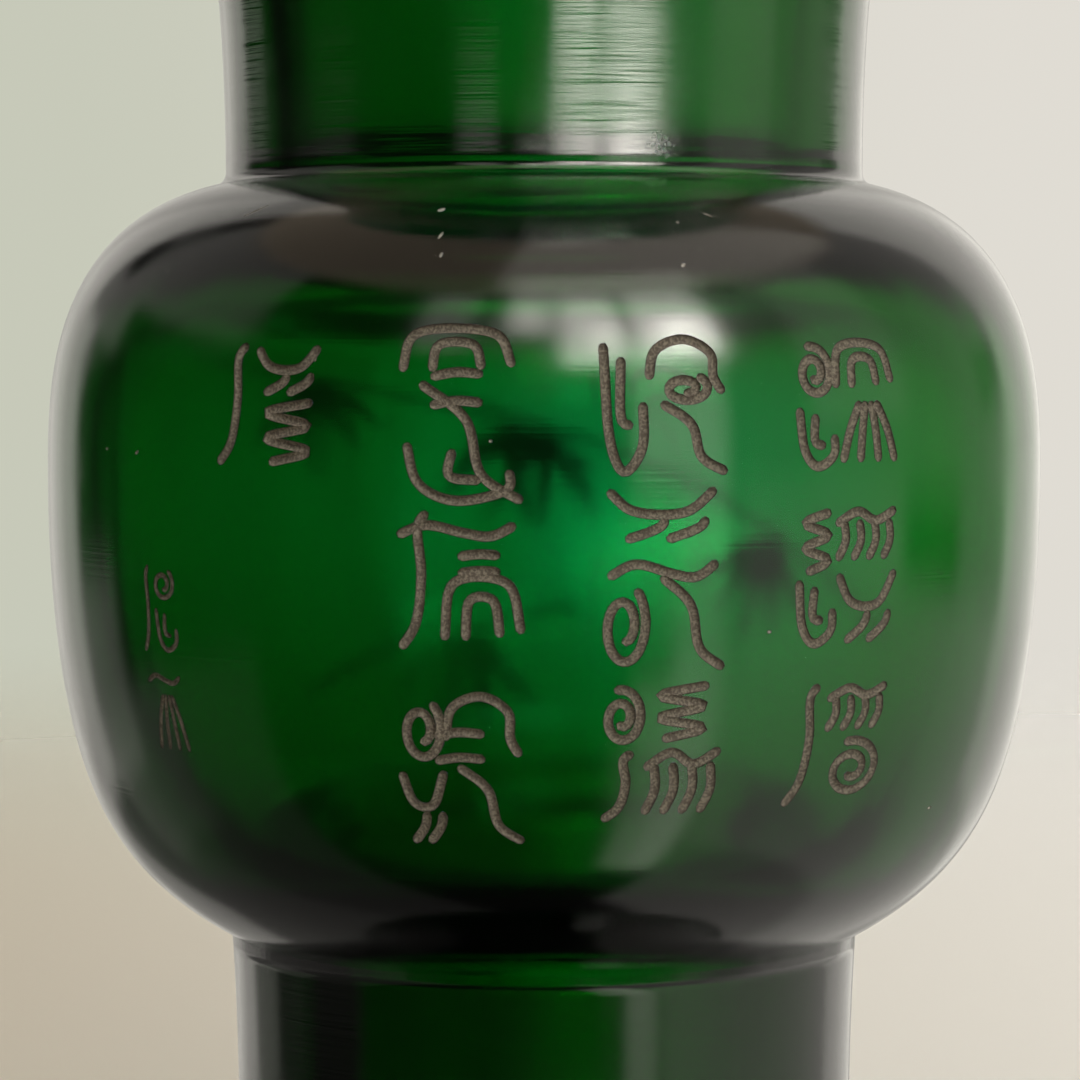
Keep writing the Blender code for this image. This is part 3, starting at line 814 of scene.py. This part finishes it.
def turned_normals(outline, corners, stretches, shares):
    """The turned surface's own normals at the corners, smooth but for the outline's sharp bends."""
    along = outline[1:] - outline[:-1]
    slopes = np.column_stack([-along[:, 1], along[:, 0]]) / np.hypot(*along.T)[:, None]
    bends = (slopes[:-1] * slopes[1:]).sum(axis=1)
    sharp = np.concatenate([[True], bends < math.cos(SHARP_BEND), [True]])
    blended = np.vstack([slopes[:1], slopes[:-1] + slopes[1:], slopes[-1:]])
    blended /= np.hypot(*blended.T)[:, None]
    start = np.where(sharp[stretches][:, None], slopes[stretches], blended[stretches])
    end = np.where(sharp[stretches + 1][:, None], slopes[stretches], blended[stretches + 1])
    flat = start * (1 - shares[:, None]) + end * shares[:, None]
    flat /= np.hypot(*flat.T)[:, None]
    way = corners[:, :2] / np.maximum(np.hypot(*corners[:, :2].T), 1e-9)[:, None]
    return np.column_stack([way * flat[:, :1], flat[:, 1]])


def polish(body, outline):
    """Gives the turned faces exact normals, and each corner its run along the outline and its depth."""
    data = body.data
    places = read_out(data.vertices, "co", 3)
    stretches, shares, depths = nearest_stretch(outline, places)
    lengths = np.hypot(*(outline[1:] - outline[:-1]).T)
    runs = np.concatenate([[0.0], np.cumsum(lengths)])[stretches] + shares * lengths[stretches]
    for name, values in (("along", runs), ("depth", depths)):
        data.attributes.new(name, "FLOAT", "POINT").data.foreach_set("value", values.astype(np.float32))
    data.shade_smooth()
    data.set_sharp_from_angle(angle=GROOVE_EDGE)
    own = read_out(data.corner_normals, "vector", 3)
    slots = np.repeat(read_out(data.polygons, "material_index", 1, np.int32),
                      read_out(data.polygons, "loop_total", 1, np.int32))
    at_loops = read_out(data.loops, "vertex_index", 1, np.int32)
    exact = turned_normals(outline, places, stretches, shares)[at_loops]
    normals = np.where((slots == 0)[:, None], exact, own)
    data.normals_split_custom_set([tuple(normal) for normal in normals])


def lining(body, slot, name, material):
    """The ground surface of the grooves, as a thin skin over them."""
    shape = bmesh.new()
    shape.from_mesh(body.data)
    others = [face for face in shape.faces if face.material_index != slot]
    bmesh.ops.delete(shape, geom=others, context="FACES")
    for face in shape.faces:
        face.material_index = 0
    data = bpy.data.meshes.new(name)
    shape.to_mesh(data)
    shape.free()
    data.materials.append(material)
    data.attributes.remove(data.attributes["along"])
    made = bpy.data.objects.new(name, data)
    bpy.context.scene.collection.objects.link(made)
    skin = made.modifiers.new("thickness", "SOLIDIFY")
    skin.thickness = LINING
    skin.offset = 0.0
    return made


body, outline, materials = carved_vase()
polish(body, outline)
linings = [lining(body, GROUND, "ground_strokes", materials[GROUND]),
           lining(body, CHIPPED, "chipped_specks", materials[CHIPPED])]
body.data.polygons.foreach_set("material_index", [0] * len(body.data.polygons))
for slot in (SPARE, CHIPPED, GROUND):
    body.data.materials.pop(index=slot)

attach(body, "root")
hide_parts("carved_glass_vase")
for piece in linings:
    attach(piece, "root")


# Camera at the photograph's angle
CAMERA_PLACE = (-0.0004, -0.3644, 0.1408)
CAMERA_PITCH = -3.25
CAMERA_LENS = 123.4
CAMERA_SENSOR = 36.0
camera_data = bpy.data.cameras.new("camera")
camera_data.lens = CAMERA_LENS
camera_data.sensor_width = CAMERA_SENSOR
camera = bpy.data.objects.new("camera", camera_data)
bpy.context.scene.collection.objects.link(camera)
camera.location = CAMERA_PLACE
camera.rotation_euler = (math.radians(90 + CAMERA_PITCH), 0.0, 0.0)
bpy.context.scene.camera = camera

# Panels of light round the vase: degrees to the right of straight back, from and to, degrees above the
# horizon, from and to, and strength. They add up over a dim room, and each shades off over a soft edge.
# The first are mirrored in the glass, and the second are seen through it.
MIRRORED = (
    (-37, 12, -18, 90, 0.70), (-36, -19, -12, 40, 0.32), (-46, -37, -18, 12, 0.95),
    (-60, -38, 11, 22, 0.38), (-104, -46, 22, 49, 0.40), (-64, -46, -20, -6, 0.36),
    (-62, 14, -90, -18, 0.14), (-30, 14, -36, -18, 0.28), (-110, -62, -90, -14, 0.09),
    (-80, -46, -34, -14, 0.12),
    (12, 50, -8, 49, 1.30), (14, 52, -20, -8, 0.40), (50, 72, -8, 49, 0.50), (50, 62, 3, 12, -0.30),
    (72, 90, -3, 49, 0.48), (90, 118, 5, 49, 0.90), (90, 118, -3, 5, 0.55), (92, 136, -8, -3, 0.90),
    (118, 136, -3, 49, 0.36), (14, 136, -50, -8, 0.80), (14, 136, -78, -50, 0.52),
    (137, 158, 21, 49, 5.5), (137, 158, 21, 43, 2.5), (137, 150, 25, 37, 9.5), (150, 158, 21, 31, 2.0),
    (161, 176, 21, 49, 4.6), (161, 176, 21, 44, 4.4), (179, 189, 31, 49, 3.4), (179, 189, 33, 44, 4.2),
    (198, 212, 26, 48, 1.3), (139, 160, -2, 21, 2.2), (138, 150, -16, -2, 1.1),
    (138, 150, -62, -16, 1.8), (150, 159, -62, -19, 1.1), (60, 195, 50, 84, 1.0), (130, 190, 49, 58, 1.6),
    (143, 155, 24, 37, 6.5), (160, 169, 24, 36, 6.0), (-12, 26, 71, 81, 1.2), (-30, 55, 81, 90, 1.2),
    (120, 186, 79, 90, 1.5),
)
SEEN_THROUGH = (
    (-42, -10, -8, 49, 0.30), (-10, -4, -8, 49, 0.23), (-4, 0, -8, 49, 0.50), (0, 14, -8, 49, 0.74),
    (14, 50, -8, 49, 0.95), (-42, 0, -34, -8, 0.24), (0, 50, -34, -8, 0.72),
    (50, 90, -30, 49, 0.60), (90, 118, -30, 49, 1.10), (118, 136, -30, 49, 0.40), (-104, -50, 22, 49, 0.30),
    (137, 158, 21, 49, 11.0), (137, 158, -2, 21, 2.0), (161, 176, 21, 49, 8.0), (179, 189, 31, 49, 5.0),
    (137, 158, -62, -16, 1.5), (60, 190, 50, 84, 0.8),
)
ROOM_LIGHT = 0.02
SEAM = -120
SOFT_TURN = 2.9
SOFT_RISE = 2.4
CEILING_RISE = (49.0, 82.5)
CEILING_SOFT = 1.5
CEILING = (0.55, 0.45, 0.33)
DAYLIGHT = (1.0, 0.96, 0.88)
GLOW_TURN = (2.5, 3.9)
GLOW_RISE = (-7.4, -4.4)
GLOW_SOFT = 0.5
GLOW = 7.0
COOL_BACK = (-1, 12)
COOL_FRONT = (130, 178)
COOL_SOFT = 4
COOL_BLUE = 1.7
BACKDROP = ((-180, (0.66, 0.64, 0.57)), (-30, (0.60, 0.60, 0.50)), (-8, (0.57, 0.585, 0.485)),
            (8, (0.745, 0.716, 0.655)), (30, (0.73, 0.70, 0.64)), (180, (0.66, 0.64, 0.57)))
DIFFUSE_SHARE = 0.66


def ramp(tree, factor, stops):
    """Colours by degrees, where the factor runs from 0 to 1 over a full turn."""
    made = add(tree, "ShaderNodeValToRGB", [("Fac", factor)])
    made.color_ramp.interpolation = "EASE"
    elements = made.color_ramp.elements
    elements.remove(elements[-1])
    for index, (degrees, colour) in enumerate(stops):
        element = elements[0] if index == 0 else elements.new(1.0)
        element.position = degrees / 360 + 0.5
        element.color = (*colour, 1.0)
    return made.outputs["Color"]


def inside_range(tree, value, low, high, soft, made):
    """1 between two degrees and 0 outside them, with soft edges. What was made before is used again."""
    edges = ((low - soft, low + soft, 0.0, 1.0), (high - soft, high + soft, 1.0, 0.0))
    for edge in edges:
        if edge not in made:
            made[edge] = spread(tree, value, *edge)
    if edges not in made:
        made[edges] = calculate(tree, "MULTIPLY", *(made[edge] for edge in edges))
    return made[edges]


def panels(tree, turn, rise, table, tint, turns_made, rises_made):
    """The tinted light of a table's panels, with the ceiling's light added."""
    light = ROOM_LIGHT
    for turn_from, turn_to, rise_from, rise_to, strength in table:
        across = inside_range(tree, turn, turn_from, turn_to, SOFT_TURN, turns_made)
        up = inside_range(tree, rise, rise_from, rise_to, SOFT_RISE, rises_made)
        light = calculate(tree, "MULTIPLY_ADD", calculate(tree, "MULTIPLY", across, up), strength, light)
    tinted = vector_math(tree, "MULTIPLY", light, tint)
    ceiling = inside_range(tree, rise, *CEILING_RISE, CEILING_SOFT, rises_made)
    return vector_math(tree, "ADD", tinted, vector_math(tree, "MULTIPLY", CEILING, ceiling))


def studio_world():
    world = bpy.data.worlds.new("studio")
    world.use_nodes = True
    world.cycles.sampling_method = "NONE"
    bpy.context.scene.world = world
    tree = world.node_tree
    tree.nodes.clear()
    way = add(tree, "ShaderNodeTexCoord").outputs["Generated"]
    split = add(tree, "ShaderNodeSeparateXYZ", [("Vector", way)])
    azimuth = calculate(tree, "ARCTAN2", split.outputs["X"], split.outputs["Y"])
    around = calculate(tree, "MULTIPLY_ADD", azimuth, 0.5 / math.pi, 0.5)
    turn = calculate(tree, "WRAP", calculate(tree, "DEGREES", azimuth), 360 + SEAM, SEAM)
    rise = calculate(tree, "DEGREES", calculate(tree, "ARCSINE", split.outputs["Z"]))

    path = add(tree, "ShaderNodeLightPath")
    share = calculate(tree, "MULTIPLY_ADD", path.outputs["Is Diffuse Ray"], DIFFUSE_SHARE - 1.0, 1.0)
    turns_made, rises_made = {}, {}
    mirrored = panels(tree, turn, rise, MIRRORED, DAYLIGHT, turns_made, rises_made)
    mirrored = add(tree, "ShaderNodeBackground", (("Color", mirrored), ("Strength", share)))
    cool = calculate(tree, "ADD", inside_range(tree, turn, *COOL_BACK, COOL_SOFT, turns_made),
                     inside_range(tree, turn, *COOL_FRONT, COOL_SOFT, turns_made))
    blue = calculate(tree, "MULTIPLY_ADD", cool, COOL_BLUE, DAYLIGHT[2])
    cool = add(tree, "ShaderNodeCombineXYZ", (("X", DAYLIGHT[0]), ("Y", DAYLIGHT[1]), ("Z", blue)))
    seen = panels(tree, turn, rise, SEEN_THROUGH, cool.outputs["Vector"], turns_made, rises_made)
    glow = calculate(tree, "MULTIPLY", inside_range(tree, turn, *GLOW_TURN, GLOW_SOFT, turns_made),
                     inside_range(tree, rise, *GLOW_RISE, GLOW_SOFT, rises_made))
    seen = vector_math(tree, "MULTIPLY", seen, calculate(tree, "MULTIPLY_ADD", glow, GLOW, 1.0))
    through = add(tree, "ShaderNodeBackground", [("Color", seen)])
    backdrop = add(tree, "ShaderNodeBackground", [("Color", ramp(tree, around, BACKDROP))])
    light = add(tree, "ShaderNodeMixShader", (
        ("Fac", path.outputs["Is Transmission Ray"]), (1, mirrored.outputs["Background"]),
        (2, through.outputs["Background"]),
    ))
    light = add(tree, "ShaderNodeMixShader", (
        ("Fac", path.outputs["Is Camera Ray"]), (1, light.outputs["Shader"]),
        (2, backdrop.outputs["Background"]),
    ))
    add(tree, "ShaderNodeOutputWorld", [("Surface", light.outputs["Shader"])])


studio_world()


def floor():
    """A pale round floor with painted shade on its left side and painted light on its right, whose rim
    fades into the backdrop, and that glossy things don't mirror.
    """
    turns = [2 * math.pi * step / FLOOR_SIDES for step in range(FLOOR_SIDES)]
    corners = [(FLOOR_RADIUS * math.cos(turn), FLOOR_RADIUS * math.sin(turn), 0.0) for turn in turns]
    material, tree, shader, place = new_material("pale_floor")
    side = add(tree, "ShaderNodeSeparateXYZ", [("Vector", place)]).outputs["X"]
    # Painted shade on the left of the floor, painted light on the right
    pale = mixed(tree, spread(tree, side, -PAINTED_SHADE_SPREAD, PAINTED_SHADE_SPREAD, 0.0, 1.0), FLOOR_LEFT_PAINTED_SHADE, FLOOR_RIGHT_PAINTED_LIGHT)
    tree.links.new(pale, shader.inputs["Base Color"])
    shader.inputs["Roughness"].default_value = FLOOR_ROUGHNESS
    length = add(tree, "ShaderNodeVectorMath", [(0, place)], operation="LENGTH")
    fade = spread(tree, length.outputs["Value"], FADE_START, FADE_END, 0.0, 1.0)
    mirrored = add(tree, "ShaderNodeLightPath").outputs["Is Glossy Ray"]
    fade = calculate(tree, "MAXIMUM", fade, mirrored)
    clear = add(tree, "ShaderNodeBsdfTransparent")
    mix = add(tree, "ShaderNodeMixShader", (
        ("Fac", fade), (1, shader.outputs["BSDF"]), (2, clear.outputs["BSDF"]),
    ))
    tree.links.new(mix.outputs["Shader"], tree.nodes["Material Output"].inputs["Surface"])
    mesh_object("floor", corners, [tuple(range(FLOOR_SIDES))], [material])


floor()
settings = bpy.context.scene
settings.view_settings.view_transform = "Standard"
settings.cycles.max_bounces = 9
settings.cycles.transmission_bounces = 7
settings.cycles.glossy_bounces = 4
settings.cycles.diffuse_bounces = 1
settings.cycles.caustics_reflective = False
